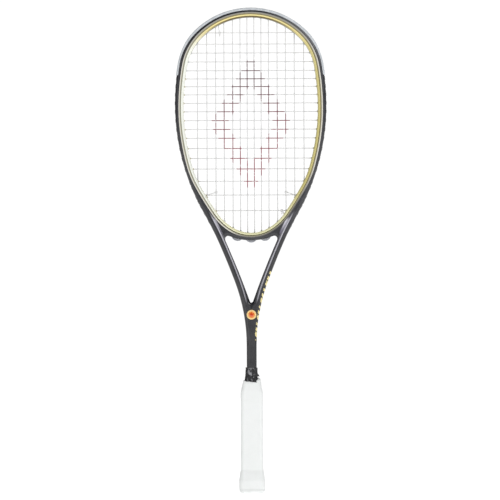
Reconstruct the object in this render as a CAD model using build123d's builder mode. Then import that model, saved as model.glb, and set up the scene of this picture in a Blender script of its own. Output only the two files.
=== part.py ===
from build123d import *

import os
from math import cos, radians, sin

# A squash racket in millimetres. +Z runs from the butt end up to the crown, X goes across the head,
# and the front face looks along -Y. The origin is the middle of the butt end.

# ---- whole racket
LENGTH = 686.0
BEAM = 19.0  # depth of the frame along Y
RIM_ROUND = 4.5  # rounding of the frame's front and back edges
BUMPER_RISE = 1.8  # how far the bumper stands above the frame at the crown
FRAME_TOP = LENGTH - BUMPER_RISE
SHAFT_HALF = 7.1
SHAFT_END = 6.0
WALL = 1.6  # carbon wall of the hollow tube
GROOVE_WALL = 3.6  # the outer wall is deeper, because it holds the string groove
CAVITY_ROUND = 2.0

# ---- outlines, each as (radius, turn) arcs and (length, 0) straights, left turns positive
FRAME_LEGS = ((110.7, -45), (88, -20), (76, -15), (340, -10), (310, -28.5), (15, 0), (450, 5), (1100, 3))
FRAME_LAST_TURN = 20.5
BUMPER_LEGS = ((112.5, -45), (78, -20), (105, -17), (20, 0))
HEAD_TOP = 672.8
HEAD_LEGS = ((97, -45), (76, -35), (342, -10), (280, -8), (328.5, -7.5), (130, -13.5), (510, -5), (73, -26))
HEAD_LAST_TURN = 30.0
THROAT_FOOT = 269.5
THROAT_LEGS = ((2.4, 70.6), (1150, -4), (12.5, 0), (4.5, 136))
THROAT_LAST_TURN = 22.6

# ---- bridge between the two arms
BRIDGE_HALF = 36.0
BRIDGE_LOW = 356.8
BRIDGE_HIGH = 390.0

# ---- string groove and grommets
GROOVE_DEPTH = 2.4
GROOVE_WIDTH = 4.8
GROOVE_FOOT = 366.0  # the outer groove stops here on each shoulder
LANE_DEPTH = 0.8  # depth of a string's centre line below the frame's surface
LANE_SHIFT = 0.75  # mains' loops lie behind the middle of the groove, crosses' loops in front
LANE_WIDTH = 3.2
BAND_TOP = 1.7  # depth of the strip's top face, on which the strings lie
BARREL_D = 2.6
BORE_D = 1.5
DRILL_D = 2.8
BARREL_PROUD = 0.9  # how far a barrel stands out of the head's inner wall
FLARE_R = 1.6  # a bore widens to this where the string turns into the groove
FLARE_DEPTH = 1.5
MOUTH_FLARE_R = 1.15
MOUTH_FLARE_DEPTH = 1.4
BUMPER_HALF_WIDTH = 8.7
BUMPER_ROUND = 1.4
BUMPER_FOOT = 591.0
SIDE_FOOT = 434.5
STRIP_RISE = 0.1
BOSS_RISE = 0.4
BOSS_HALF = 2.6
STRIP_GAP = 1.0
SCALLOP_XS = (-19.3, 0.0, 19.3)
SCALLOP_R = 9.0
SCALLOP_DROP = 3.1  # how far a scallop hangs below the bridge
SCALLOP_HALF_WIDTH = 3.4

# ---- strings
STRING_D = 1.25
WEAVE = 0.65  # how far each string moves out of the middle plane where it crosses another
WEAVE_R = 6.0
WALL_R = 2.5
MOUTH_R = 1.8  # bend round a grommet's mouth
MAINS = (4.9, 14.8, 25.4, 37.6, 49.4, 61.9, 75.2)
MAIN_FOOT_LEANS = (0.0, 3.0, 6.0, -12.0, 34.0, 36.0, 40.0)  # degrees outwards, from straight down
MAINS_IN_BRIDGE = 4
TOP_CROSS = 650.8
UPPER_PITCHES = (16, 12.5, 12.5, 12.5, 11.5, 11, 11.5, 12, 12)
CROSS_PITCHES = UPPER_PITCHES + (12.5, 12.5, 12.5, 14.5, 14, 15, 17.5, 19.5, 22)
MAIN_TIE = (63.6, 50.0)  # place across the head and lean of the holes for the mains' two ends
CROSS_START_X = -45.5
CROSS_END = (47.0, 28.0)
TIE_FRONT = -1.6  # a tie hole opens this far along Y from the middle, so its string clears the others
TAIL_FRONT = 0.6  # and the tied end moves this much further forward on its way to its knot
MOUTH_SHIFT = 1.5  # where a main and a cross meet the wall together, their holes part along Y
CROWDED_TOP = 61.9
CROWDED_FOOT = 75.2
CROWDED_CROSSES = (0, 16)
TIE_ROUTE_XS = (-64.0, -56.0)  # where the first cross's tied end follows the crown between its two holes
MAIN_KNOT_Z = 425.5
CROSS_KNOT_X = 43.5
KNOT_D = 3.6
KNOT_LENGTH = 3.4
TAIL_LENGTH = 6.0

# ---- handle, as half widths along X and Y at heights
GRIP_THICK = 1.8
GRIP_LEVELS = ((6.4, 18.4, 16.2), (18.5, 18.4, 16.2), (30, 16, 13.9), (143, 16, 13.9), (159.5, 12.3, 12.4))
UNDER_GRIP = [(z, x - GRIP_THICK, y - GRIP_THICK) for z, x, y in GRIP_LEVELS]
CAP_LEVELS = UNDER_GRIP[:3]
PALLET_LEVELS = UNDER_GRIP[2:]
SPIGOT = (12.6, 10.5)  # the pallets' lower end, inside the butt cap
PALLET_FOOT = 3.0
CAP_LIP = (18.3, 16.1)
CAP_ROUND = 5.0
CORNER_SHARE = 0.42  # corner radius of the handle, as a share of its half depth
COLLAR_LEVELS = ((158, 13.1, 13.2), (164, 11.2, 12.2), (171, 8.8, 11.0), (177.3, 8.0, 10.4))
FIT_GAP = 0.05
FOAM_TOP = 70.0

# ---- small pieces
BADGE_Z = 252.2
BADGE_D = 13.6
BADGE_EYE_D = 8.0
BADGE_SINK = 0.5
BADGE_RISE = 0.5
DOME_RISE = 1.0
STAPLE_WIRE = 0.7
STAPLE_SPAN = 9.0
STAPLE_LEG = 3.0
STAPLE_Z = 12.0

CROSSES = [TOP_CROSS - sum(CROSS_PITCHES[:count]) for count in range(len(CROSS_PITCHES) + 1)]
MAIN_XS = sorted([-x for x in MAINS] + list(MAINS))
HEAD_MIDDLE = CROSSES[len(CROSSES) // 2]
DOWN = Vector(0, 0, -1)
UP = Vector(0, 0, 1)
LEFT = Vector(-1, 0, 0)
RIGHT = Vector(1, 0, 0)
BACKWARDS, FORWARDS = 1, -1


def follow(start_height, legs, shift):
    """Draw tangent legs from the Z axis, setting off along +X, with the line moved right by shift."""
    point, heading = Vector(0, start_height - shift), Vector(1, 0)
    for size, turn in legs:
        if turn:
            leg = JernArc(point, heading, size + shift * (1 if turn > 0 else -1), turn)
        else:
            leg = PolarLine(point, size, direction=heading)
        point, heading = leg @ 1, leg % 1
    return point, heading


def frame_side(shift=0.0):
    """The right-hand outside of hoop, arm and shaft, moved inwards by shift."""
    point, heading = follow(FRAME_TOP, FRAME_LEGS, shift)
    side = SHAFT_HALF - shift
    radius = (point.X - side) / (1 - cos(radians(FRAME_LAST_TURN)))
    into_shaft = JernArc(point, heading, radius, FRAME_LAST_TURN)
    Polyline(into_shaft @ 1, (side, -BEAM), (0, -BEAM))


def bumper_side(shift=0.0):
    """The right-hand outside of the bumper, which stands less proud of the frame towards its feet."""
    point = follow(LENGTH, BUMPER_LEGS, shift)[0]
    Polyline(point, (0, point.Y))


def head_side(growth=0.0):
    """The right-hand edge of the head opening, which lands square on the Z axis."""
    point, heading = follow(HEAD_TOP, HEAD_LEGS, -growth)
    JernArc(point, heading, point.X / sin(radians(HEAD_LAST_TURN)), -HEAD_LAST_TURN)


def throat_side(growth=0.0):
    """The right-hand edge of the throat opening, from its foot up to the bridge."""
    point, heading = follow(THROAT_FOOT, THROAT_LEGS, growth)
    JernArc(point, heading, point.X / sin(radians(THROAT_LAST_TURN)), -THROAT_LAST_TURN)


def filled(side, shift, half_depth):
    """A slab of one outline, drawn from its right-hand side."""
    with BuildPart() as slab:
        with BuildSketch(Plane.XZ):
            with BuildLine():
                side(shift)
                mirror(about=Plane.YZ)
            make_face()
        extrude(amount=half_depth, both=True)
    return slab.part


def frame_slab(shift, half_depth, rounding):
    """The frame's whole region, shrunk by shift on the outside, with rounded front and back edges."""
    thin = min(shift, WALL)
    with BuildPart() as slab:
        add(filled(frame_side, shift, half_depth))
        add(filled(head_side, thin, half_depth), mode=Mode.SUBTRACT)
        add(filled(throat_side, thin, half_depth), mode=Mode.SUBTRACT)
        fillet(slab.faces().filter_by(Axis.Y).edges(), rounding)
    return slab.part


def band(side, outer_shift, inner_shift, half_width):
    """A band that follows one outline, between two shifts of it."""
    with BuildPart() as ring:
        add(filled(side, outer_shift, half_width))
        add(filled(side, inner_shift, BEAM), mode=Mode.SUBTRACT)
    return ring.part


HEAD_VOID = filled(head_side, 0, BEAM)
OUTER_LANE = filled(frame_side, LANE_DEPTH, BEAM)
THROAT_LANE = filled(throat_side, LANE_DEPTH, BEAM)


def leave(solid, start, direction):
    """Where a line from start along direction leaves the solid, and the surface's normal there."""
    hits = solid.find_intersection_points(Axis(start, direction))
    return max(hits, key=lambda hit: (hit[0] - start).dot(direction))


def reach(solid, start, direction):
    """The first point of the solid ahead of start."""
    hits = [hit[0] for hit in solid.find_intersection_points(Axis(start, direction))]
    ahead = [hit for hit in hits if (hit - start).dot(direction) > 0]
    return min(ahead, key=lambda hit: (hit - start).length)


class Hole:
    """One string hole: its mouth in the head's wall, and the place in the groove where the string turns."""

    def __init__(self, start, direction, side, lean=None, in_bridge=False, mouth_y=0.0):
        flat_wall, normal = leave(HEAD_VOID, start, direction)
        axis = (direction + normal).normalized()
        if lean is not None:
            axis = direction.rotate(Axis.Y, lean if start.X < 0 else -lean)
        turn = reach(THROAT_LANE, flat_wall, axis) if in_bridge else leave(OUTER_LANE, flat_wall, axis)[0]
        self.wall = flat_wall + Vector(0, mouth_y, 0)
        self.lane = turn + Vector(0, side * LANE_SHIFT, 0)
        self.axis = (self.lane - self.wall).normalized()

    def cylinder(self, diameter, before, after):
        """A round solid along the hole, from before the wall to after the string's turn."""
        plane = Plane(origin=self.wall - self.axis * before, z_dir=self.axis)
        return Solid.make_cylinder(diameter / 2, before + (self.lane - self.wall).length + after, plane)

    def groove_flare(self):
        plane = Plane(origin=self.lane - self.axis * FLARE_DEPTH, z_dir=self.axis)
        return Solid.make_cone(BORE_D / 2, FLARE_R, FLARE_DEPTH, plane)

    def mouth_flare(self):
        plane = Plane(origin=self.wall - self.axis * BARREL_PROUD, z_dir=self.axis)
        return Solid.make_cone(MOUTH_FLARE_R, BORE_D / 2, MOUTH_FLARE_DEPTH, plane)


def main_hole(x, direction):
    start = Vector(x, 0, HEAD_MIDDLE)
    if direction == UP:
        return Hole(start, UP, BACKWARDS, mouth_y=MOUTH_SHIFT * (abs(x) == CROWDED_TOP))
    rank = MAINS.index(abs(x))
    mouth_y = MOUTH_SHIFT * (abs(x) == CROWDED_FOOT)
    return Hole(start, DOWN, BACKWARDS, MAIN_FOOT_LEANS[rank], rank < MAINS_IN_BRIDGE, mouth_y)


def cross_hole(number, direction):
    mouth_y = -MOUTH_SHIFT * (number in CROWDED_CROSSES)
    return Hole(Vector(0, 0, CROSSES[number]), direction, FORWARDS, mouth_y=mouth_y)


MAIN_TOPS = [main_hole(x, UP) for x in MAIN_XS]
MAIN_FEET = [main_hole(x, DOWN) for x in MAIN_XS]
CROSS_LEFTS = [cross_hole(number, LEFT) for number in range(len(CROSSES))]
CROSS_RIGHTS = [cross_hole(number, RIGHT) for number in range(len(CROSSES))]
MAIN_TIES = [
    Hole(Vector(x, 0, HEAD_MIDDLE), DOWN, BACKWARDS, MAIN_TIE[1], mouth_y=TIE_FRONT)
    for x in (-MAIN_TIE[0], MAIN_TIE[0])
]
CROSS_TIES = [
    Hole(Vector(CROSS_START_X, 0, HEAD_MIDDLE), UP, FORWARDS, mouth_y=TIE_FRONT),
    Hole(Vector(CROSS_END[0], 0, HEAD_MIDDLE), DOWN, FORWARDS, CROSS_END[1], mouth_y=TIE_FRONT),
]
HOLES = MAIN_TOPS + MAIN_FEET + CROSS_LEFTS + CROSS_RIGHTS + MAIN_TIES + CROSS_TIES
BRIDGE_HOLES = [hole for hole in MAIN_FEET if hole.lane.Z < GROOVE_FOOT]
OUTER_HOLES = [hole for hole in HOLES if hole not in BRIDGE_HOLES]


# ---- strings
def weave(main, cross, end):
    """Which side of the middle plane a string passes at a crossing, from the two strings' numbers."""
    return WEAVE * end * (1 if (main + cross) % 2 else -1)


def main_run(number):
    """One main from its foot in the groove to its top, with its crossings."""
    foot, top, x = MAIN_FEET[number], MAIN_TOPS[number], MAIN_XS[number]
    run = [(foot.lane, MOUTH_R), (foot.wall, WALL_R)]
    for cross in reversed(range(len(CROSSES))):
        if foot.wall.Z + STRING_D < CROSSES[cross] < top.wall.Z - STRING_D:
            run.append((Vector(x, weave(number, cross, 1), CROSSES[cross]), WEAVE_R))
    return run + [(top.wall, WALL_R), (top.lane, MOUTH_R)]


def cross_run(number):
    """One cross from the left groove to the right one, with its crossings."""
    left, right, z = CROSS_LEFTS[number], CROSS_RIGHTS[number], CROSSES[number]
    run = [(left.lane, MOUTH_R), (left.wall, WALL_R)]
    for main, x in enumerate(MAIN_XS):
        if left.wall.X + STRING_D < x < right.wall.X - STRING_D:
            run.append((Vector(x, weave(main, number, -1), z), WEAVE_R))
    return run + [(right.wall, WALL_R), (right.lane, MOUTH_R)]


def tied_end(hole, knot):
    """From the knot, past the front of the strings and out through the tie hole."""
    passing = hole.wall + (knot - hole.wall) * 0.35 + Vector(0, -TAIL_FRONT, 0)
    return [(knot, 0), (passing, WALL_R), (hole.wall, WALL_R), (hole.lane, MOUTH_R)]


def string(route, knots, host):
    """A round string along its whole route, with a knot round its own run at each tied end."""
    points = [point for point, radius in route]
    radii = [radius for point, radius in route[1:-1]]
    print("cord radii", sorted(set(radii)), "at", len(radii), "bends")
    path = FilletPolyline(*points, radius=radii, mode=Mode.PRIVATE)
    with BuildPart() as cord:
        with BuildSketch(Plane(origin=path @ 0, z_dir=path % 0)):
            Circle(STRING_D / 2)
        sweep(path=path)
    section = cord.part.volume / path.length
    print("string length", round(path.length, 1), "section", round(section, 4), "square mm")
    with BuildPart() as whole:
        add(cord.part)
        for knot in knots:
            with Locations(Plane(origin=knot, z_dir=host)):
                Cylinder(KNOT_D / 2, KNOT_LENGTH)
            with Locations(Plane(origin=knot, z_dir=Vector(0, -0.6, -1))):
                Cylinder(STRING_D / 2, TAIL_LENGTH, align=(Align.CENTER, Align.CENTER, Align.MIN))
    return whole.part


def alternate(runs):
    """Join runs end to end, turning every second one round."""
    route = []
    for number, run in enumerate(runs):
        route += run if number % 2 == 0 else run[::-1]
    return route


main_knots = [Vector(x, 0, MAIN_KNOT_Z) for x in (-MAINS[4], MAINS[4])]
main_route = tied_end(MAIN_TIES[0], main_knots[0]) + alternate([main_run(n) for n in range(len(MAIN_XS))])
main_route += tied_end(MAIN_TIES[1], main_knots[1])[::-1]
cross_knots = [Vector(-CROSS_KNOT_X, 0, CROSSES[0]), Vector(CROSS_KNOT_X, 0, CROSSES[-1])]
along_crown = [
    (leave(OUTER_LANE, Vector(x, 0, HEAD_MIDDLE), UP)[0] + Vector(0, FORWARDS * LANE_SHIFT, 0), WEAVE_R)
    for x in TIE_ROUTE_XS[::-1]
]
cross_route = tied_end(CROSS_TIES[0], cross_knots[0]) + along_crown
cross_route += alternate([cross_run(number) for number in range(len(CROSSES))])
cross_route += tied_end(CROSS_TIES[1], cross_knots[1])[::-1]
main_string = string(main_route, main_knots, UP)
cross_string = string(cross_route, cross_knots, RIGHT)


# ---- frame and bridge
def zone(low, high, side=0):
    """A block between two heights, on one side of the middle or on both."""
    align = (Align.CENTER if side == 0 else Align.MIN if side > 0 else Align.MAX, Align.CENTER, Align.MIN)
    with BuildPart(Plane.XY.offset(low)) as block:
        Box(LENGTH, 2 * BEAM, high - low, align=align)
    return block.part


frame_blank = frame_slab(0, BEAM / 2, RIM_ROUND)
cavity = frame_slab(GROOVE_WALL, BEAM / 2 - WALL, CAVITY_ROUND)
throat_groove = filled(throat_side, GROOVE_DEPTH, GROOVE_WIDTH / 2)
with BuildPart() as outer_groove:
    add(band(frame_side, -BUMPER_RISE, GROOVE_DEPTH, GROOVE_WIDTH / 2))
    add(zone(GROOVE_FOOT, LENGTH + BEAM), mode=Mode.INTERSECT)
BADGE_PLANES = (
    Plane(origin=(0, -BEAM / 2, BADGE_Z), x_dir=(1, 0, 0), z_dir=(0, -1, 0)),
    Plane(origin=(0, BEAM / 2, BADGE_Z), x_dir=(-1, 0, 0), z_dir=(0, 1, 0)),
)

with BuildPart() as bridge_zone:
    with BuildSketch(Plane.XZ):
        with Locations((0, BRIDGE_LOW)):
            Rectangle(2 * BRIDGE_HALF, BRIDGE_HIGH - BRIDGE_LOW, align=(Align.CENTER, Align.MIN))
    extrude(amount=BEAM, both=True)

with BuildPart() as frame_tube:
    add(frame_blank)
    add(bridge_zone.part, mode=Mode.SUBTRACT)
    add(cavity, mode=Mode.SUBTRACT)
    with BuildSketch(Plane.XY.offset(SHAFT_END)):
        Rectangle(2 * BEAM, 2 * BEAM)
    extrude(amount=-LENGTH, mode=Mode.SUBTRACT)
    add(outer_groove.part, mode=Mode.SUBTRACT)
    with Locations(*BADGE_PLANES):
        Cylinder(BADGE_D / 2 + FIT_GAP, 2 * BADGE_SINK, mode=Mode.SUBTRACT)
    add([hole.cylinder(DRILL_D, STRING_D * 2, BUMPER_RISE) for hole in OUTER_HOLES], mode=Mode.SUBTRACT)
    add([hole.cylinder(DRILL_D, STRING_D * 2, BUMPER_RISE) for hole in BRIDGE_HOLES], mode=Mode.SUBTRACT)

with BuildPart() as throat_bridge:
    add(frame_blank)
    add(bridge_zone.part, mode=Mode.INTERSECT)
    add(throat_groove, mode=Mode.SUBTRACT)
    add([hole.cylinder(DRILL_D, STRING_D * 2, BUMPER_RISE) for hole in BRIDGE_HOLES], mode=Mode.SUBTRACT)


# ---- grommet strips
def inside(hole, low, high, side=0):
    return low < hole.lane.Z < high and (side == 0 or hole.lane.X * side > 0)


def finish_strip(strip, holes):
    """Add the barrels of a strip, and open every string's way through it."""
    with BuildPart() as finished:
        add(strip)
        add([hole.cylinder(BARREL_D, BARREL_PROUD, -LANE_DEPTH) for hole in holes])
        add([hole.cylinder(BORE_D, BARREL_PROUD * 2, BUMPER_RISE) for hole in holes], mode=Mode.SUBTRACT)
        add([hole.groove_flare() for hole in holes], mode=Mode.SUBTRACT)
        add([hole.mouth_flare() for hole in holes], mode=Mode.SUBTRACT)
    return max(finished.part.solids(), key=lambda solid: solid.volume)


with BuildPart() as bumper_guard:
    add(filled(bumper_side, 0, BUMPER_HALF_WIDTH))
    fillet(bumper_guard.faces().filter_by(Axis.Y).edges(), BUMPER_ROUND)
    add(filled(frame_side, GROOVE_DEPTH, BEAM), mode=Mode.SUBTRACT)
    add(frame_blank - outer_groove.part, mode=Mode.SUBTRACT)
    add(band(frame_side, -2 * BUMPER_RISE, BAND_TOP, LANE_WIDTH / 2), mode=Mode.SUBTRACT)
    add(zone(BUMPER_FOOT, LENGTH + BEAM), mode=Mode.INTERSECT)
bumper_holes = [hole for hole in OUTER_HOLES if inside(hole, BUMPER_FOOT, LENGTH)]
bumper = finish_strip(bumper_guard.part, bumper_holes)


def outer_strip(low, high, side):
    """A strip in one side's groove, with a low boss at each side of every string's mouth."""
    holes = [hole for hole in OUTER_HOLES if inside(hole, low, high, side)]
    half_width = GROOVE_WIDTH / 2 - FIT_GAP
    with BuildPart() as bosses:
        with Locations(*[Plane(origin=hole.lane, z_dir=hole.axis) for hole in holes]):
            Cylinder(BOSS_HALF, BEAM)
    with BuildPart() as strip:
        add(band(frame_side, -BOSS_RISE, -STRIP_RISE, half_width))
        add(bosses.part, mode=Mode.INTERSECT)
        add(band(frame_side, -STRIP_RISE, GROOVE_DEPTH - FIT_GAP, half_width))
        add(band(frame_side, -2 * BUMPER_RISE, BAND_TOP, LANE_WIDTH / 2), mode=Mode.SUBTRACT)
        add(zone(low, high, side), mode=Mode.INTERSECT)
    return finish_strip(strip.part, holes)


side_strips = [outer_strip(SIDE_FOOT + STRIP_GAP / 2, BUMPER_FOOT - STRIP_GAP, side) for side in (-1, 1)]
shoulder_strips = [outer_strip(GROOVE_FOOT + STRIP_GAP, SIDE_FOOT - STRIP_GAP / 2, side) for side in (-1, 1)]

bridge_groove = throat_groove & bridge_zone.part

with BuildPart() as throat_strip:
    add(filled(throat_side, GROOVE_DEPTH - FIT_GAP, GROOVE_WIDTH / 2 - FIT_GAP))
    add(filled(throat_side, 0, BEAM), mode=Mode.SUBTRACT)
    add(bridge_zone.part, mode=Mode.INTERSECT)
    for x in SCALLOP_XS:
        crest = leave(filled(throat_side, 0, BEAM), Vector(x, 0, BRIDGE_LOW - SCALLOP_R), UP)[0]
        with Locations(Plane(origin=crest + UP * (SCALLOP_R - SCALLOP_DROP), z_dir=(0, 1, 0))):
            Cylinder(SCALLOP_R, 2 * SCALLOP_HALF_WIDTH)
    add(frame_blank - bridge_groove, mode=Mode.SUBTRACT)
    add(filled(head_side, 0, BEAM), mode=Mode.SUBTRACT)
    add(filled(throat_side, BAND_TOP, LANE_WIDTH / 2), mode=Mode.SUBTRACT)
throat_grommets = finish_strip(throat_strip.part, BRIDGE_HOLES)


# ---- handle
def loft_levels(levels):
    """A ruled body through rounded rectangles at the given heights."""
    with BuildPart() as body:
        for z, half_x, half_y in levels:
            with BuildSketch(Plane.XY.offset(z)):
                RectangleRounded(2 * half_x, 2 * half_y, CORNER_SHARE * min(half_x, half_y))
        loft(ruled=True)
    return body.part


def rounded_block(half_x, half_y, corner, low, high):
    with BuildPart() as block:
        with BuildSketch(Plane.XY.offset(low)):
            RectangleRounded(2 * half_x, 2 * half_y, corner)
        extrude(amount=high - low)
    return block.part


shaft_half = (SHAFT_HALF + FIT_GAP, BEAM / 2 + FIT_GAP)
shaft_room = rounded_block(*shaft_half, RIM_ROUND, SHAFT_END - STRING_D, LENGTH / 2)
spigot_z = PALLET_LEVELS[0][0]

with BuildPart() as pallets:
    add(loft_levels(PALLET_LEVELS))
    add(rounded_block(*SPIGOT, CORNER_SHARE * SPIGOT[1], PALLET_FOOT, spigot_z))
    add(shaft_room, mode=Mode.SUBTRACT)

with BuildPart() as handle_pallet_front:
    add(pallets.part)
    split(bisect_by=Plane.XZ, keep=Keep.TOP)

with BuildPart() as handle_pallet_back:
    add(pallets.part)
    split(bisect_by=Plane.XZ, keep=Keep.BOTTOM)


def staple(side):
    """A wire staple driven into one flank of the butt cap, with its bar flush with the skirt."""
    bar_x = side * (CAP_LEVELS[0][1] - STAPLE_WIRE)
    leg = Vector(-side * STAPLE_LEG, 0, 0)
    near, far = (Vector(bar_x, side_y, STAPLE_Z) for side_y in (-STAPLE_SPAN / 2, STAPLE_SPAN / 2))
    path = FilletPolyline(near + leg, near, far, far + leg, radius=STAPLE_WIRE, mode=Mode.PRIVATE)
    with BuildPart() as wire:
        with BuildSketch(Plane(origin=path @ 0, z_dir=path % 0)):
            Circle(STAPLE_WIRE / 2)
        sweep(path=path)
    return wire.part


butt_cap_staples = Compound(children=[staple(-1), staple(1)])

with BuildPart() as butt_cap:
    add(rounded_block(*CAP_LIP, CORNER_SHARE * CAP_LIP[1], 0, CAP_LEVELS[0][0]))
    fillet(butt_cap.edges().group_by(Axis.Z)[0], CAP_ROUND)
    add(loft_levels(CAP_LEVELS))
    spigot_room = (SPIGOT[0] + FIT_GAP, SPIGOT[1] + FIT_GAP)
    add(rounded_block(*spigot_room, CORNER_SHARE * SPIGOT[1], PALLET_FOOT, spigot_z), mode=Mode.SUBTRACT)
    add(butt_cap_staples, mode=Mode.SUBTRACT)

with BuildPart() as grip_tape:
    add(loft_levels(GRIP_LEVELS))
    add(loft_levels(UNDER_GRIP), mode=Mode.SUBTRACT)

with BuildPart() as finishing_tape:
    add(loft_levels(COLLAR_LEVELS))
    add(loft_levels(GRIP_LEVELS[3:]), mode=Mode.SUBTRACT)
    add(shaft_room, mode=Mode.SUBTRACT)

plug_half = (SHAFT_HALF - GROOVE_WALL - FIT_GAP, BEAM / 2 - WALL - FIT_GAP)
shaft_foam_plug = rounded_block(*plug_half, CAVITY_ROUND, SHAFT_END, FOAM_TOP)


# ---- badges and staples
def badge(plane):
    """A ring let into the frame's face, and the domed eye that it holds."""
    with BuildPart() as ring:
        with BuildSketch(plane.offset(-BADGE_SINK)):
            Circle(BADGE_D / 2)
            Circle(BADGE_EYE_D / 2, mode=Mode.SUBTRACT)
        extrude(amount=BADGE_SINK + BADGE_RISE)
        circles = ring.edges().filter_by(GeomType.CIRCLE).sort_by(Axis.Y)
        fillet(circles[0 if plane.z_dir.Y < 0 else -1], BADGE_RISE / 2)
    eye_half = BADGE_EYE_D / 2 - FIT_GAP
    rise = DOME_RISE - BADGE_RISE
    dome_r = (eye_half**2 + rise**2) / (2 * rise)
    with BuildPart() as eye:
        with BuildSketch(plane.offset(-BADGE_SINK)):
            Circle(eye_half)
        extrude(amount=BADGE_SINK + DOME_RISE)
        with Locations(plane.offset(DOME_RISE - dome_r)):
            Sphere(dome_r, mode=Mode.INTERSECT)
    return ring.part, eye.part


badges = [badge(plane) for plane in BADGE_PLANES]


PIECES = {
    "frame_tube": frame_tube.part,
    "throat_bridge": throat_bridge.part,
    "bumper_guard": bumper,
    "side_grommet_strip_left": side_strips[0],
    "side_grommet_strip_right": side_strips[1],
    "shoulder_grommet_strip_left": shoulder_strips[0],
    "shoulder_grommet_strip_right": shoulder_strips[1],
    "throat_grommet_strip": throat_grommets,
    "main_string": main_string,
    "cross_string": cross_string,
    "throat_badge_ring_front": badges[0][0],
    "throat_badge_eye_front": badges[0][1],
    "throat_badge_ring_back": badges[1][0],
    "throat_badge_eye_back": badges[1][1],
    "shaft_foam_plug": shaft_foam_plug,
    "handle_pallet_front": handle_pallet_front.part,
    "handle_pallet_back": handle_pallet_back.part,
    "butt_cap": butt_cap.part,
    "butt_cap_staples": butt_cap_staples,
    "grip_tape": grip_tape.part,
    "finishing_tape": finishing_tape.part,
}

os.makedirs("parts", exist_ok=True)
for name, piece in PIECES.items():
    piece.label = name
    export_step(piece, f"parts/{name}.step")
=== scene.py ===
from math import cos, pi, radians, sin

import bpy
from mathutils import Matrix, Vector, noise


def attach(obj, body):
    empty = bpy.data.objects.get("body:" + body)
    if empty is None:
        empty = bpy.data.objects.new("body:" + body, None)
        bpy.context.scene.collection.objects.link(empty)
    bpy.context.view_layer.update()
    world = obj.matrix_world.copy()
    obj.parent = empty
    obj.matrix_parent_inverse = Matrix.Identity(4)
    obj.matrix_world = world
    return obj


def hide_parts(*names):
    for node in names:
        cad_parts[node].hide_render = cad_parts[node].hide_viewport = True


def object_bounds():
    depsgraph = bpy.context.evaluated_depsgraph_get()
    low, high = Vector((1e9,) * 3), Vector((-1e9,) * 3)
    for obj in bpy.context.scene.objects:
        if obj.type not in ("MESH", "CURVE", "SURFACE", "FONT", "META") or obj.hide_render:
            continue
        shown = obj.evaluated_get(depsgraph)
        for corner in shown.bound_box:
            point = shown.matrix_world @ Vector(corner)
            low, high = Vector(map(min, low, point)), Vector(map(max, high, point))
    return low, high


# A squash racket, seen square from the front. The comments' and constants' lengths are millimetres
# unless they say metres. +Z runs from the butt end to the crown, and the front looks along -Y.

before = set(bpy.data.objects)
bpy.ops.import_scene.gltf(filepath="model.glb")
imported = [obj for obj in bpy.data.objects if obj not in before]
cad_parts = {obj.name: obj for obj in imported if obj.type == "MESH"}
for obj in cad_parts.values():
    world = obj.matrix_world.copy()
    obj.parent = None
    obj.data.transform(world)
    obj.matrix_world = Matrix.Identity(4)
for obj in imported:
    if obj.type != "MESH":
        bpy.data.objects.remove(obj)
cad_low, cad_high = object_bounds()

MM = 0.001
SCENE = bpy.context.scene

# ---- outlines of the frame, as part.py draws them: (radius, turn) arcs and (length, 0) straights
FRAME_TOP = 684.2
FRAME_LEGS = (
    (110.7, -45), (88, -20), (76, -15), (340, -10), (310, -28.5), (15, 0), (450, 5), (1100, 3),
)
FRAME_LAST_TURN = 20.5
SHAFT_HALF = 7.1
SHAFT_LENGTH = 260.0
HEAD_TOP = 672.8
HEAD_LEGS = (
    (97, -45), (76, -35), (342, -10), (280, -8), (328.5, -7.5), (130, -13.5), (510, -5), (73, -26),
)
HEAD_LAST_TURN = 30.0
HALF_BEAM = 9.5

# ---- bands of paint, the white band and the arms' stripe partly painted highlights: how far each reaches from the head's inner wall, and the stripe on the arms
YELLOW_END = 3.5
OLIVE_END = 4.7
GREY_END = 5.6
WHITE_END = 7.0
STRIPE_FROM_EDGE = (7.5, 6.5)  # on the left arm and on the right one
STRIPE_HALF = 0.7

# ---- heights between which the paint, and the light and shade painted into it, change
SHOULDER = 380  # the hoop's left and right sides differ above this
CROWN_DARKENS = (630, 668)
CROWN_WARMS = (620, 672)
CROWN_WALL = (640, 672)  # where the inner wall's painted shade, dark olive, comes round to the front
WHITE_LIT_RIGHT = (400, 480)  # the white band's painted highlight brightens on the right side
WHITE_LIT_LEFT = (360, 372)
WHITE_DIMS = (590, 684)
WEDGE_REACH = (366, 388)  # between each arm's stripe and the hoop's bands
STRIPE_REACH = (272, 392)
HALO_FOOT = 285  # the stripe's soft painted glow starts here
DASH_REACH = (216, 315)
DASH_PITCH = 8.0  # plain dashes on the right arm's outer side
NOTCH_FOOT = 259.0  # painted shade in the fork, standing in for a recess that is not modelled
NOTCH_TOP = 275

# ---- the strings' stencilled diamond and the badge
STENCIL_Z = 522.0
STENCIL_HALF_X = 58.0
STENCIL_HALF_Z = 98.0
STENCIL_WIDTH = 0.42  # of the way in to its middle
BADGE_Z = 252.2

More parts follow.
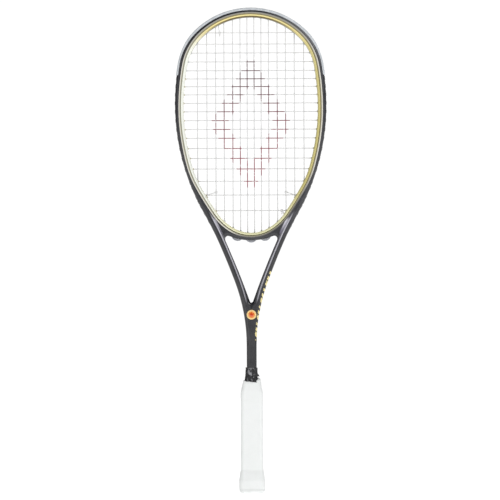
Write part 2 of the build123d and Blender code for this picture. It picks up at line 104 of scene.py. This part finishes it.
# ---- handle, as half widths along X and Y at heights
GRIP_LEVELS = (
    (6.4, 18.4, 16.2), (18, 18.4, 16.2), (24, 17.6, 15.4), (29, 16.9, 14.7), (33, 16.1, 13.9),
    (139, 16.1, 13.9), (143, 15.8, 13.85), (146.5, 14.9, 13.7), (150, 14.0, 13.3),
    (155, 12.9, 12.8), (158.6, 12.0, 12.3), (160.2, 9.0, 11.2),
)
GRIP_FOOT, GRIP_TOP = 6.4, 160.2
GRIP_SLANT = 3.6  # how much higher its top edge stands on the right
GRIP_THICK = 1.7  # where its inner side lies under the outer one
GRIP_ROWS = 480
GRIP_INSIDE = (0.985, 0.96, 0.93, 0.9, 0.5, 0.16, 0.13, 0.09, 0.08, 0.0)  # shares of its height
CORNER_SHARE = 0.42  # corner radius, as a share of the smaller half width
WRAP_PITCH = 25.0
WRAP_STEP = 0.14  # each turn of tape stands this far above the one below
COLLAR_LEVELS = (
    (156.0, 9.0, 13.6), (161, 8.8, 12.9), (166, 8.4, 11.9), (171, 8.15, 11.2), (177.3, 8.0, 10.5),
)
COLLAR_FOOT, COLLAR_TOP = 157.6, 177.3
COLLAR_LEAN = 0.6  # how far it sags towards the left
COLLAR_DEEP = 0.7  # how far its inner side lies under the outer one
COLLAR_ROWS = 110
COLLAR_INSIDE = (1, 0.66, 0.33, 0)
LAYER_PITCH = 6.5  # height between one turn of the finishing tape and the next
ROUND = 144  # points in a ring

# ---- camera and light, in metres
CAMERA_X = -0.0018
CAMERA_HEIGHT = 0.3436
CAMERA_ROLL = 0.23  # degrees, the crown leaning left
CAMERA_DISTANCE = 4.0
VIEW_WIDTH = 0.7074
SENSOR = 36.0  # width of the camera's sensor in millimetres
LIT_POINT = (0, 0, 0.35)
FLOOR_HALF = 12.0
FLOOR_GAP = 0.0002  # the floor lies this far under the butt


# ============================================================ shader arithmetic
def linear(red, green, blue):
    """A colour of the screen, 0 to 255, as the shader's linear colour."""
    def channel(value):
        share = value / 255
        return share / 12.92 if share <= 0.04045 else ((share + 0.055) / 1.055) ** 2.4
    return (channel(red), channel(green), channel(blue), 1.0)


class Num:
    """A number worked out by shader nodes."""

    def __init__(self, socket):
        self.socket = socket
        self.tree = socket.id_data

    def op(self, kind, *others):
        node = self.tree.nodes.new("ShaderNodeMath")
        node.operation = kind
        for place, value in zip(node.inputs, (self, *others)):
            if isinstance(value, Num):
                self.tree.links.new(value.socket, place)
            else:
                place.default_value = value
        return Num(node.outputs[0])

    def __add__(self, other):
        return self.op("ADD", other)

    def __sub__(self, other):
        return self.op("SUBTRACT", other)

    def __rsub__(self, other):
        return self.op("MULTIPLY_ADD", -1.0, other)

    def __mul__(self, other):
        return self.op("MULTIPLY", other)

    def __truediv__(self, other):
        return self.op("DIVIDE", other)

    def __gt__(self, other):
        return self.op("GREATER_THAN", other)

    def __lt__(self, other):
        return self.op("LESS_THAN", other)

    def __abs__(self):
        return self.op("ABSOLUTE")

    def least(self, other):
        return self.op("MINIMUM", other)

    def most(self, other):
        return self.op("MAXIMUM", other)

    def root(self):
        return self.op("SQRT")

    def wave(self):
        return self.op("SINE")

    def part(self):
        return self.op("FRACT")

    def ramp(self, low, high):
        """0 at low, 1 at high, smooth between."""
        node = self.tree.nodes.new("ShaderNodeMapRange")
        node.interpolation_type = "SMOOTHSTEP"
        self.tree.links.new(self.socket, node.inputs["Value"])
        node.inputs["From Min"].default_value = low
        node.inputs["From Max"].default_value = high
        return Num(node.outputs["Result"])

    def under(self, limit, soft=0.08):
        return 1.0 - (self - limit).ramp(-soft, soft)

    def over(self, limit, soft=0.08):
        return (self - limit).ramp(-soft, soft)


class Look:
    """A procedural material in the making, with the place in millimetres as x, y and z."""

    def __init__(self, name, roughness=0.5, specular=0.5, coat=0.0, coat_roughness=0.1, metallic=0.0,
                 sheen=0.0, subsurface=0.0):
        self.material = bpy.data.materials.new(name)
        self.material.use_nodes = True
        self.tree = self.material.node_tree
        self.tree.nodes.clear()
        output = self.tree.nodes.new("ShaderNodeOutputMaterial")
        self.shader = self.tree.nodes.new("ShaderNodeBsdfPrincipled")
        self.tree.links.new(self.shader.outputs[0], output.inputs["Surface"])
        constants = {
            "Roughness": roughness, "Specular IOR Level": specular, "Coat Weight": coat,
            "Coat Roughness": coat_roughness, "Metallic": metallic, "Sheen Weight": sheen,
            "Subsurface Weight": subsurface,
        }
        for key, value in constants.items():
            self.shader.inputs[key].default_value = value
        self.shader.inputs["Subsurface Radius"].default_value = (0.002, 0.002, 0.002)
        self.shader.inputs["Subsurface Scale"].default_value = 1.0
        place = self.tree.nodes.new("ShaderNodeTexCoord")
        scaled = self.tree.nodes.new("ShaderNodeVectorMath")
        scaled.operation = "SCALE"
        scaled.inputs["Scale"].default_value = 1 / MM
        self.tree.links.new(place.outputs["Object"], scaled.inputs[0])
        self.place = scaled.outputs[0]
        split = self.tree.nodes.new("ShaderNodeSeparateXYZ")
        self.tree.links.new(self.place, split.inputs[0])
        self.x, self.y, self.z = (Num(socket) for socket in split.outputs)

    def texture(self, kind, size, stretch=(1, 1, 1)):
        """A texture node with grains of about size millimetres, longer where stretch is more."""
        mapping = self.tree.nodes.new("ShaderNodeMapping")
        mapping.inputs["Scale"].default_value = tuple(1 / (size * longer) for longer in stretch)
        self.tree.links.new(self.place, mapping.inputs["Vector"])
        node = self.tree.nodes.new(kind)
        node.inputs["Scale"].default_value = 1.0
        self.tree.links.new(mapping.outputs[0], node.inputs["Vector"])
        return node

    def noise(self, size, detail=2.0, stretch=(1, 1, 1)):
        """Noise between 0 and 1."""
        node = self.texture("ShaderNodeTexNoise", size, stretch)
        node.inputs["Detail"].default_value = detail
        return Num(node.outputs["Fac"])

    def cells(self, size):
        """Distance to the nearest of scattered points that lie about size millimetres apart."""
        return Num(self.texture("ShaderNodeTexVoronoi", size).outputs["Distance"])

    def mix(self, share, first, second):
        """first where share is 0, second where it is 1."""
        node = self.tree.nodes.new("ShaderNodeMix")
        node.data_type = "RGBA"
        self.tree.links.new(share.socket, node.inputs["Factor"])
        for key, colour in (("A", first), ("B", second)):
            place = next(p for p in node.inputs if p.name == key and p.type == "RGBA")
            if isinstance(colour, tuple):
                place.default_value = colour
            else:
                self.tree.links.new(colour, place)
        return next(p for p in node.outputs if p.type == "RGBA")

    def colour(self, socket):
        self.tree.links.new(socket, self.shader.inputs["Base Color"])

    def rough(self, value):
        self.tree.links.new(value.socket, self.shader.inputs["Roughness"])

    def bump(self, height, depth):
        """Dents and rises: height from 0 to 1 stands for depth millimetres."""
        node = self.tree.nodes.new("ShaderNodeBump")
        node.inputs["Strength"].default_value = 1.0
        node.inputs["Distance"].default_value = depth * MM
        self.tree.links.new(height.socket, node.inputs["Height"])
        self.tree.links.new(node.outputs[0], self.shader.inputs["Normal"])
        self.tree.links.new(node.outputs[0], self.shader.inputs["Coat Normal"])

    def put_on(self, *names):
        """Use the material on CAD nodes."""
        for name in names:
            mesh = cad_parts[name].data
            mesh.materials.clear()
            mesh.materials.append(self.material)


# ============================================================ distance from an outline
FAR = 1000.0  # further than any outline
SEAM = 0.0005  # radians by which neighbouring arcs overlap, so that no line shows between them


def walk(start_height, legs, last_turn, end_x, last_length=0.0):
    """The outline's parts, from the Z axis on: its arcs, and its straights with a radius of None."""
    x, z, heading, parts = 0.0, start_height, 0.0, []
    for size, turn in (*legs, (None, last_turn), (last_length, 0)):
        if turn == 0:
            parts.append((x, z, None, heading, size, 0))
            x, z = x + size * cos(heading), z + size * sin(heading)
            continue
        side = 1 if turn > 0 else -1
        if size is None:
            size = (x - end_x) / (1 - cos(radians(turn))) if end_x else x / sin(radians(turn) * side)
        centre_x, centre_z = x - side * size * sin(heading), z + side * size * cos(heading)
        start = heading - side * pi / 2
        parts.append((centre_x, centre_z, size, start + radians(turn) / 2, radians(abs(turn)) / 2, side))
        heading += radians(turn)
        end = start + radians(turn)
        x, z = centre_x + size * cos(end), centre_z + size * sin(end)
    return parts


def distance(look, parts, sign):
    """How far a place lies from an outline, inside it for a sign of 1 and outside it for -1."""
    x, z, nearest = abs(look.x), look.z, None
    for centre_x, centre_z, radius, heading, reach, side in parts:
        if radius is None and reach == 0:
            continue
        east, north = x - centre_x, z - centre_z
        along = east * cos(heading) + north * sin(heading)
        if radius is None:
            beside = (along > 0.0) * (along < reach)
            depth = east * sin(heading) - north * cos(heading)
        else:
            off = (east * east + north * north).root()
            beside = along > off * cos(reach + SEAM)
            depth = (off - radius) * side
        value = depth * sign + (1.0 - beside) * FAR
        nearest = value if nearest is None else nearest.least(value)
    return nearest


# ============================================================ materials
def flaked(look, dark, light):
    """A painted ground with a fine metallic flake and slow clouds."""
    flake = look.noise(0.35, 3.0)
    cloud = look.noise(14.0, 2.0)
    return look.mix((flake * 0.7 + cloud * 0.5 - 0.1).ramp(0.2, 0.8), dark, light)


def lacquer(name):
    """The frame's paint: charcoal, with the hoop's bands and the arms' stripe at their distances, and
    painted light and shade: lighter on the right, a pale painted sheen on the left, darkened outer
    edges, a shaded inner wall and fork, and painted highlights in the white band and the stripe.
    """
    look = Look(name, roughness=0.3, specular=0.4, coat=0.3, coat_roughness=0.12)
    from_head = distance(look, walk(HEAD_TOP, HEAD_LEGS, -HEAD_LAST_TURN, 0), -1)
    from_edge = distance(look, walk(FRAME_TOP, FRAME_LEGS, FRAME_LAST_TURN, SHAFT_HALF, SHAFT_LENGTH), 1)
    front_on = abs(look.y).over(HALF_BEAM - 2.6, 0.3)
    rightwards = look.x.ramp(-30, 30)
    # painted sheen: the hoop's bands are paled towards the left, between the shoulder and the crown, as
    # a reflection of light
    left_sheen = (look.x * -1.0).ramp(10, 75) * look.z.under(640, 20.0) * look.z.over(SHOULDER, 15.0)
    # painted light: the charcoal is lighter on the right above the shoulder, the side the light falls
    # on; it also darkens towards the crown
    ground = look.mix(rightwards * look.z.over(SHOULDER, 20), linear(60, 60, 64), linear(80, 80, 85))
    ground = look.mix(look.z.ramp(*CROWN_DARKENS), ground, linear(42, 42, 46))
    paint = flaked(look, linear(28, 28, 32), ground)
    # painted shade: the frame's outer edges are darkened below the head's top, where the rounded section
    # turns away from the light
    rim = from_edge.under(2.4, 1.6) * look.z.under(560, 40)
    paint = look.mix(rim * 0.75, paint, linear(22, 22, 26))
    # the wedge between each arm's stripe and the hoop's bands, fading towards the throat
    left_line, right_line = STRIPE_FROM_EDGE
    beyond = from_edge - (left_line - rightwards * (left_line - right_line))
    inner_side = beyond - rightwards * 2.0
    wedge = inner_side.over(-0.9, 0.4) * inner_side.under(2.6, 0.7)
    wedge = wedge * from_head.over(WHITE_END + 0.3, 0.3)
    wedge = wedge * look.z.over(WEDGE_REACH[0], 3.0) * look.z.under(WEDGE_REACH[1], 3.0)
    wedge = wedge * abs(look.x).over(40.0, 1.0)
    patch = look.mix(look.z.ramp(368, 384), linear(104, 100, 118), linear(206, 204, 214))
    paint = look.mix(wedge * front_on, paint, patch)
    # the hoop's bands, from the outermost in; the white band is partly a painted highlight, brighter
    # along both sides above the shoulder, from lower down on the left, and dimmer towards the crown
    fine = look.noise(2.5, 2.0, (1, 1, 4))
    right_bright = look.z.ramp(*WHITE_LIT_RIGHT) * rightwards
    left_bright = look.z.ramp(*WHITE_LIT_LEFT) * (1.0 - rightwards)
    highlight_level = right_bright + left_bright - look.z.ramp(*WHITE_DIMS) * 0.75
    white = look.mix(highlight_level, linear(104, 102, 98), linear(226, 223, 212))
    paint = look.mix(from_head.under(WHITE_END) * front_on, paint, white)
    grey = look.mix(fine, linear(142, 136, 112), linear(172, 166, 144))
    paint = look.mix(from_head.under(GREY_END), paint, grey)
    olive = look.mix(left_sheen, linear(122, 112, 70), linear(150, 151, 134))
    olive = look.mix(look.z.under(400, 15), olive, linear(74, 76, 42))
    paint = look.mix(from_head.under(OLIVE_END), paint, olive)
    warm = look.mix(look.noise(9.0, 2.0), linear(205, 193, 122), linear(224, 213, 144))
    warm = look.mix(look.z.ramp(*CROWN_WARMS), warm, linear(237, 220, 150))
    # painted light: the yellow is paler low down, where the bridge's inner wall faces up into the light
    warm = look.mix(look.z.under(408, 30), warm, linear(246, 243, 196))
    warm = look.mix(left_sheen, warm, linear(248, 250, 240))
    paint = look.mix(from_head.under(YELLOW_END), paint, warm)
    # painted shade on the head's inner wall: its yellow, shaded, shows as dark olive under the crown,
    # and paler on the left with the painted sheen
    crown_edge = from_head.under(1.6, 0.3) * look.z.ramp(*CROWN_WALL)
    wall = (abs(look.y).under(5.2, 0.4) * from_head.under(1.6)).most(crown_edge)
    shade = look.mix(left_sheen, linear(84, 70, 20), linear(190, 188, 164))
    paint = look.mix(wall, paint, look.mix(fine, shade, linear(104, 90, 36)))
    # the stripe that runs on down each arm to the throat's foot: a silver pinstripe and partly a painted
    # highlight, brighter higher up, with a soft painted glow beside it
    stripe_foot, stripe_top = STRIPE_REACH
    on_line = abs(beyond).under(STRIPE_HALF, 0.35) * look.z.over(stripe_foot, 5.0)
    on_line = on_line * look.z.under(stripe_top, 8.0) * front_on
    halo = abs(beyond - 0.8).under(2.0, 0.7) * look.z.over(HALO_FOOT, 12.0)
    halo = halo * look.z.under(stripe_top, 8.0) * front_on
    paint = look.mix(halo * 0.5, paint, linear(112, 111, 118))
    paint = look.mix(on_line * (look.z.ramp(262, 350) * 0.35 + 0.55), paint, linear(198, 197, 206))
    # slanted dashes of uneven length on the outer flank of the right-hand arm and shaft
    place = (look.z + look.y * 0.7) / DASH_PITCH
    uneven = (place * 2.1).wave() * 0.2 + 0.6
    ragged = look.noise(2.2, 2.0) * 3.4 + 0.6
    dash = (uneven - place.part()).over(0.0, 0.02) * (ragged - from_edge).over(0.0, 0.15)
    dash = dash * look.x.over(1.0) * look.z.over(DASH_REACH[0]) * look.z.under(DASH_REACH[1])
    paint = look.mix(dash, paint, look.mix(fine, linear(226, 206, 128), linear(248, 236, 176)))
    # painted shade in the fork: a dark triangle where the recess is not modelled
    notch = (abs(look.x) - (look.z - NOTCH_FOOT) * 0.38).under(0.0, 0.3)
    notch = notch * look.z.under(NOTCH_TOP) * front_on
    paint = look.mix(notch, paint, linear(8, 10, 18))
    look.colour(paint)
    peel = look.noise(1.6, 2.0) * 0.6 + look.noise(0.5, 2.0) * 0.4
    look.bump(peel, 0.03)
    look.rough(look.noise(22.0, 3.0) * 0.16 + 0.22 + wall * 0.5)
    return look


def moulded(name, dark, light, grain=0.6, depth=0.03, roughness=0.45, **constants):
    """Moulded plastic: a fine grain, slow changes of tone, and gloss that varies a little."""
    look = Look(name, roughness=roughness, **constants)
    tone = look.noise(7.0, 3.0) * 0.6 + look.noise(grain, 2.0) * 0.4
    look.colour(look.mix(tone.ramp(0.25, 0.75), dark, light))
    look.rough(look.noise(3.0, 3.0) * 0.2 + (roughness - 0.1))
    look.bump(look.noise(grain, 3.0), depth)
    return look


lacquer("frame_lacquer").put_on("frame_tube", "throat_bridge")

moulded("bumper_nylon", linear(184, 189, 194), linear(214, 218, 222), grain=0.9, depth=0.04,
        roughness=0.38, specular=0.5, subsurface=0.25).put_on("bumper_guard")


def grommet_look():
    """Black nylon strips, whose barrels end in the yellow of the hoop's inner edge."""
    look = Look("grommet_nylon", roughness=0.45)
    from_head = distance(look, walk(HEAD_TOP, HEAD_LEGS, -HEAD_LAST_TURN, 0), -1)
    tone = look.noise(7.0, 3.0) * 0.6 + look.noise(0.6, 2.0) * 0.4
    ground = look.mix(tone.ramp(0.25, 0.75), linear(34, 34, 37), linear(54, 54, 58))
    barrel_end = look.mix(tone, linear(186, 176, 128), linear(214, 206, 160))
    look.colour(look.mix(from_head.under(0.3), ground, barrel_end))
    look.rough(look.noise(3.0, 3.0) * 0.2 + 0.35)
    look.bump(look.noise(0.6, 3.0), 0.03)
    look.put_on("side_grommet_strip_left", "side_grommet_strip_right",
                "shoulder_grommet_strip_left", "shoulder_grommet_strip_right")


grommet_look()
moulded("throat_nylon", linear(150, 152, 158), linear(182, 184, 190),
        roughness=0.35, subsurface=0.2).put_on("throat_grommet_strip")
moulded("foam", linear(196, 192, 178), linear(216, 212, 200), grain=0.8, depth=0.2,
        roughness=0.9).put_on("shaft_foam_plug")
moulded("pallet_plastic", linear(96, 96, 100), linear(116, 116, 120), grain=0.5,
        roughness=0.7).put_on("handle_pallet_front", "handle_pallet_back")
moulded("cap_plastic", linear(222, 225, 224), linear(236, 238, 237), grain=0.5, depth=0.04,
        roughness=0.5, subsurface=0.1).put_on("butt_cap")


def strings_look():
    """White coated string with twisted fibres under the coat, painted shade on the part of each string
    that lies further back, and a stencilled dark red diamond.
    """
    look = Look("string_nylon", roughness=0.35, specular=0.5, subsurface=0.15)
    twist = ((look.x + look.z + look.y * 2.0) * 5.2).wave() * 0.5 + 0.5
    # painted shade: each string is darker further back, where it passes under the crossing strings
    behind = look.y.ramp(-0.2, 1.0)
    ground = look.mix(twist, linear(206, 206, 208), linear(232, 232, 230))
    ground = look.mix(behind, ground, linear(160, 160, 166))
    from_middle = abs(look.x) / STENCIL_HALF_X + abs(look.z - STENCIL_Z) / STENCIL_HALF_Z
    ring = from_middle.over(1.0 - STENCIL_WIDTH, 0.01) * from_middle.under(1.0, 0.01)
    front = look.y.under(0.35, 0.3)
    patchy = look.noise(3.0, 3.0).ramp(0.3, 0.45)
    ink = look.mix(look.z.ramp(470, 600), linear(150, 62, 78), linear(88, 36, 50))
    look.colour(look.mix(ring * front * patchy, ground, ink))
    look.bump(twist, 0.03)
    look.rough(look.noise(2.0, 2.0) * 0.15 + 0.28)
    return look


strings_look().put_on("main_string", "cross_string")


def from_badge(look):
    """Distance from the badge's middle, seen from the front."""
    up = look.z - BADGE_Z
    return (look.x * look.x + up * up).root()


def badge_looks():
    """A plain amber ring round a glossy red dome."""
    ring = Look("badge_ring", roughness=0.3, coat=0.5)
    cloudy = (ring.noise(1.2, 3.0) * 0.8 + 0.1).ramp(0.2, 0.8)
    off = from_badge(ring)
    pale = ring.mix(cloudy, linear(248, 206, 128), linear(252, 224, 158))
    ring.colour(ring.mix(off.ramp(3.9, 5.6), linear(238, 150, 56), pale))
    ring.rough(ring.noise(1.5, 2.0) * 0.12 + 0.24)
    ring.bump(ring.noise(0.5, 2.0), 0.02)
    ring.put_on("throat_badge_ring_front", "throat_badge_ring_back")
    eye = Look("badge_eye", roughness=0.12, coat=0.8, coat_roughness=0.05)
    mottled = from_badge(eye) + eye.noise(1.2, 2.0) * 1.2
    eye.colour(eye.mix(mottled.ramp(1.6, 4.4), linear(206, 60, 0), linear(236, 126, 34)))
    eye.rough(eye.noise(1.0, 2.0) * 0.08 + 0.1)
    eye.bump(eye.noise(1.5, 1.0), 0.01)
    eye.put_on("throat_badge_eye_front", "throat_badge_eye_back")


badge_looks()


def steel_look():
    """Drawn steel wire."""
    look = Look("staple_steel", roughness=0.3, metallic=1.0)
    drawn = look.noise(0.2, 2.0, (1, 12, 1))
    look.colour(look.mix(drawn, linear(170, 170, 172), linear(206, 206, 208)))
    look.rough(drawn * 0.2 + 0.22)
    look.bump(drawn, 0.01)
    look.put_on("butt_cap_staples")


steel_look()


def grip_look():
    """Tacky white polyurethane with a fine pressed grain."""
    look = Look("grip_pu", roughness=0.6, specular=0.35, sheen=0.15, subsurface=0.12)
    slow = look.noise(16.0, 3.0)
    pores = look.cells(0.8)
    look.colour(look.mix(slow * 0.7 + pores * 0.3, linear(238, 241, 240), linear(249, 251, 250)))
    look.rough(look.noise(5.0, 3.0) * 0.2 + 0.5)
    look.bump(pores * 0.5 + look.noise(0.5, 3.0) * 0.5, 0.05)
    return look.material


def tape_look():
    """Black stretched tape, with painted highlights: pale streaks over its wrinkles along its middle."""
    look = Look("finishing_tape", roughness=0.4, specular=0.45)
    pull = look.noise(1.6, 3.0, (1, 1, 3))
    # painted highlights: pale streaks where the wrinkles catch the light, only near the middle
    highlight_streak = look.noise(2.9, 2.0, (1, 1, 2.6)).ramp(0.49, 0.62) * abs(look.x + 1.0).under(4.6, 2.0)
    ground = look.mix(pull, linear(8, 8, 10), linear(30, 30, 33))
    look.colour(look.mix(highlight_streak * 0.85, ground, linear(152, 152, 156)))
    look.rough(pull * 0.3 + 0.3)
    look.bump(pull, 0.3)
    return look.material


# ============================================================ handle
def level(levels, z):
    """Half widths at a height, in a straight line between the levels."""
    if z <= levels[0][0]:
        return levels[0][1:]
    for (low, low_x, low_y), (high, high_x, high_y) in zip(levels, levels[1:]):
        if z <= high:
            share = (z - low) / (high - low)
            return low_x + (high_x - low_x) * share, low_y + (high_y - low_y) * share
    return levels[-1][1:]


def on_rounded(half_x, half_y, turn):
    """A place on a rounded rectangle and its outward direction; turn runs from 0 to 1."""
    corner = CORNER_SHARE * min(half_x, half_y)
    flat_x, flat_y, arc = half_x - corner, half_y - corner, corner * pi / 2
    left = (turn % 1.0) * 4 * (flat_x + flat_y + arc)
    pieces = ((flat_y, 0), (arc, 1), (2 * flat_x, 2), (arc, 3), (2 * flat_y, 4), (arc, 5),
              (2 * flat_x, 6), (arc, 7), (flat_y, 8))
    for length, kind in pieces:
        if left <= length or kind == 8:
            break
        left -= length
    quarter = kind // 2
    angle = quarter * pi / 2
    if kind % 2:
        angle += left / corner
        middle_x = flat_x if quarter in (0, 3) else -flat_x
        middle_y = flat_y if quarter in (0, 1) else -flat_y
        return middle_x + corner * cos(angle), middle_y + corner * sin(angle), cos(angle), sin(angle)
    run = {0: left, 2: flat_x - left, 4: flat_y - left, 6: left - flat_x, 8: left - flat_y}[kind]
    if kind in (0, 8):
        return half_x, run, 1.0, 0.0
    if kind == 2:
        return run, half_y, 0.0, 1.0
    if kind == 4:
        return -half_x, run, -1.0, 0.0
    return run, -half_y, 0.0, -1.0


def new_piece(name, points, faces, material):
    """A smooth-shaded piece of the racket, from points in millimetres."""
    mesh = bpy.data.meshes.new(name)
    mesh.from_pydata([tuple(value * MM for value in point) for point in points], [], faces)
    mesh.validate()
    mesh.polygons.foreach_set("use_smooth", [True] * len(mesh.polygons))
    mesh.materials.append(material)
    piece = bpy.data.objects.new(name, mesh)
    SCENE.collection.objects.link(piece)
    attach(piece, "root")
    return piece


def ring_solid(name, rings, material):
    """A closed body round the handle, from rings of points; the last ring joins the first."""
    count = len(rings[0])
    faces = []
    for row in range(len(rings)):
        below = (row + 1) % len(rings)
        for column in range(count):
            beside = (column + 1) % count
            faces.append((row * count + column, row * count + beside,
                          below * count + beside, below * count + column))
    return new_piece(name, [point for ring in rings for point in ring], faces, material)


def ease(value, low, high):
    """0 at low, 1 at high, smooth between."""
    share = min(max((value - low) / (high - low), 0.0), 1.0)
    return share * share * (3 - 2 * share)


def grip_height(z, turn):
    """How far the wrapped tape stands above its lowest, where each turn laps over the one below."""
    lap = (z / WRAP_PITCH + turn) % 1.0
    return WRAP_STEP * (0.35 + 0.65 * lap) * ease(1.0 - lap, 0.0, 0.08)


def grip_ring(share, inner=False):
    """One ring of the grip, whose top edge climbs towards the right as the tape's end does."""
    z = GRIP_FOOT + (GRIP_TOP - GRIP_FOOT) * share
    lift = GRIP_SLANT * ease(share, 0.9, 1.0)
    ring = []
    for column in range(ROUND):
        turn = column / ROUND
        height = z + lift * max(cos(2 * pi * turn), 0.0) ** 3
        half_x, half_y = level(GRIP_LEVELS, z)
        x, y, out_x, out_y = on_rounded(half_x, half_y, turn)
        grow = -GRIP_THICK * ease(GRIP_TOP - z, 0.0, 3.0)
        if not inner:
            soft = noise.noise(Vector((x * 0.07, y * 0.07, height * 0.05)))
            grow = (grip_height(height, turn) - 0.1 + soft * 0.22) * ease(GRIP_TOP - z, 0.0, 2.0)
        ring.append((x + out_x * grow, y + out_y * grow, height))
    return ring


grip_rings = [grip_ring(row / GRIP_ROWS) for row in range(GRIP_ROWS + 1)]
grip_rings += [grip_ring(share, True) for share in GRIP_INSIDE]
grip = ring_solid("grip_wrap", grip_rings, grip_look())
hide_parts("grip_tape")


def collar_ring(share, inner=False):
    """One ring of the finishing tape: three layers, pulled into slanting wrinkles."""
    z = COLLAR_FOOT + (COLLAR_TOP - COLLAR_FOOT) * share
    ring = []
    for column in range(ROUND):
        turn = column / ROUND
        angle = 2 * pi * turn
        low = ease(168 - z, 0, 9)
        height = z - 1.4 * cos(angle) * low
        half_x, half_y = level(COLLAR_LEVELS, height)
        x, y, out_x, out_y = on_rounded(half_x, half_y, turn)
        grow = -COLLAR_DEEP
        if not inner:
            layer = ((height - 157) / LAYER_PITCH + turn) % 1.0
            around = (cos(angle) * 2.6, sin(angle) * 2.6 + height * 0.12, height * 0.34)
            fold = noise.noise(Vector(around))
            crease = noise.noise(Vector((x * 0.45 + height * 0.3, y * 0.45, height * 0.9)))
            grow = 0.25 * layer + 0.75 * fold + 0.3 * crease
        ring.append((x - COLLAR_LEAN * (0.6 + low) + out_x * grow, y + out_y * grow, height))
    return ring


black = tape_look()
collar_rings = [collar_ring(row / COLLAR_ROWS) for row in range(COLLAR_ROWS + 1)]
collar_rings += [collar_ring(share, True) for share in COLLAR_INSIDE]
collar = ring_solid("finishing_tape_wrap", collar_rings, black)
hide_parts("finishing_tape")


def tape_end():
    """The finishing tape's loose end, which stands off the collar's right-hand flank."""
    across, along, thick = 10, 14, 0.35
    front, back = [], []
    for row in range(along + 1):
        down = row / along
        for column in range(across + 1):
            out = column / across
            reach = 4.0 * down ** 0.85 * out
            x = 6.9 + reach + 0.25 * sin(5 * down + 3 * out)
            z = 172.4 - 7.2 * down - 0.5 * out * down
            y = -5.4 + 2.6 * out * out + 0.5 * sin(4 * down)
            front.append((x, y - thick, z))
            back.append((x, y + thick, z))
    wide = across + 1
    count = len(front)
    faces = []
    for row in range(along):
        for column in range(across):
            here = row * wide + column
            square = (here, here + wide, here + wide + 1, here + 1)
            faces.append(square)
            faces.append(tuple(count + square[corner] for corner in (0, 3, 2, 1)))
    rim = list(range(wide))
    rim += [row * wide + across for row in range(1, along + 1)]
    rim += [along * wide + column for column in range(across - 1, -1, -1)]
    rim += [row * wide for row in range(along - 1, 0, -1)]
    for here, there in zip(rim, rim[1:] + rim[:1]):
        faces.append((here, there, count + there, count + here))
    new_piece("finishing_tape_end", front + back, faces, black)


tape_end()


# ============================================================ stage
def floor_look():
    """A white floor that glows a little, so that it stays as white as the background."""
    look = Look("floor", roughness=0.9, specular=0.1)
    look.colour(look.mix(look.noise(300.0, 2.0), (0.5, 0.5, 0.5, 1), (0.52, 0.52, 0.52, 1)))
    look.shader.inputs["Emission Color"].default_value = (1, 1, 1, 1)
    look.shader.inputs["Emission Strength"].default_value = 0.95
    return look.material


def make_stage():
    """The floor, which isn't part of the racket."""
    mesh = bpy.data.meshes.new("floor")
    corners = [(x * FLOOR_HALF, y * FLOOR_HALF, 0) for x, y in ((-1, -1), (1, -1), (1, 1), (-1, 1))]
    mesh.from_pydata(corners, [], [(0, 1, 2, 3)])
    mesh.materials.append(floor_look())
    floor_plane = bpy.data.objects.new("floor", mesh)
    floor_plane.location.z = cad_low.z - FLOOR_GAP
    SCENE.collection.objects.link(floor_plane)


def lamp(name, place, size, power):
    """A square area light that shines on the racket's middle."""
    data = bpy.data.lights.new(name, "AREA")
    data.shape = "SQUARE"
    data.size = size
    data.energy = power
    thing = bpy.data.objects.new(name, data)
    thing.location = place
    thing.rotation_mode = "QUATERNION"
    thing.rotation_quaternion = (Vector(LIT_POINT) - thing.location).to_track_quat("-Z", "Y")
    SCENE.collection.objects.link(thing)


def make_world():
    """Soft light from all round for the object, and plain white behind it."""
    world = bpy.data.worlds.new("studio")
    SCENE.world = world
    world.use_nodes = True
    tree = world.node_tree
    tree.nodes.clear()
    output = tree.nodes.new("ShaderNodeOutputWorld")
    seen, lighting = tree.nodes.new("ShaderNodeBackground"), tree.nodes.new("ShaderNodeBackground")
    seen.inputs["Strength"].default_value = 1.05
    seen.inputs["Color"].default_value = (1, 1, 1, 1)
    lighting.inputs["Strength"].default_value = 0.22
    lighting.inputs["Color"].default_value = (1, 1, 1, 1)
    path = tree.nodes.new("ShaderNodeLightPath")
    either = tree.nodes.new("ShaderNodeMixShader")
    tree.links.new(path.outputs["Is Camera Ray"], either.inputs[0])
    tree.links.new(lighting.outputs[0], either.inputs[1])
    tree.links.new(seen.outputs[0], either.inputs[2])
    tree.links.new(either.outputs[0], output.inputs["Surface"])


def make_camera():
    """Square on to the front face, from far enough away to flatten it."""
    data = bpy.data.cameras.new("camera")
    data.sensor_width = SENSOR
    data.lens = SENSOR * CAMERA_DISTANCE / VIEW_WIDTH
    data.clip_end = 100
    camera = bpy.data.objects.new("camera", data)
    camera.location = (CAMERA_X, -CAMERA_DISTANCE, CAMERA_HEIGHT)
    camera.rotation_euler = (radians(90), radians(CAMERA_ROLL), 0)
    SCENE.collection.objects.link(camera)
    SCENE.camera = camera


make_stage()
make_world()
make_camera()
lamp("key", (1.1, -2.2, 1.7), 1.4, 27)
lamp("fill", (-1.5, -2.1, 0.5), 1.4, 6)
lamp("back", (0.4, 2.4, 1.4), 1.6, 22)
SCENE.view_settings.view_transform = "Standard"
SCENE.view_settings.look = "None"
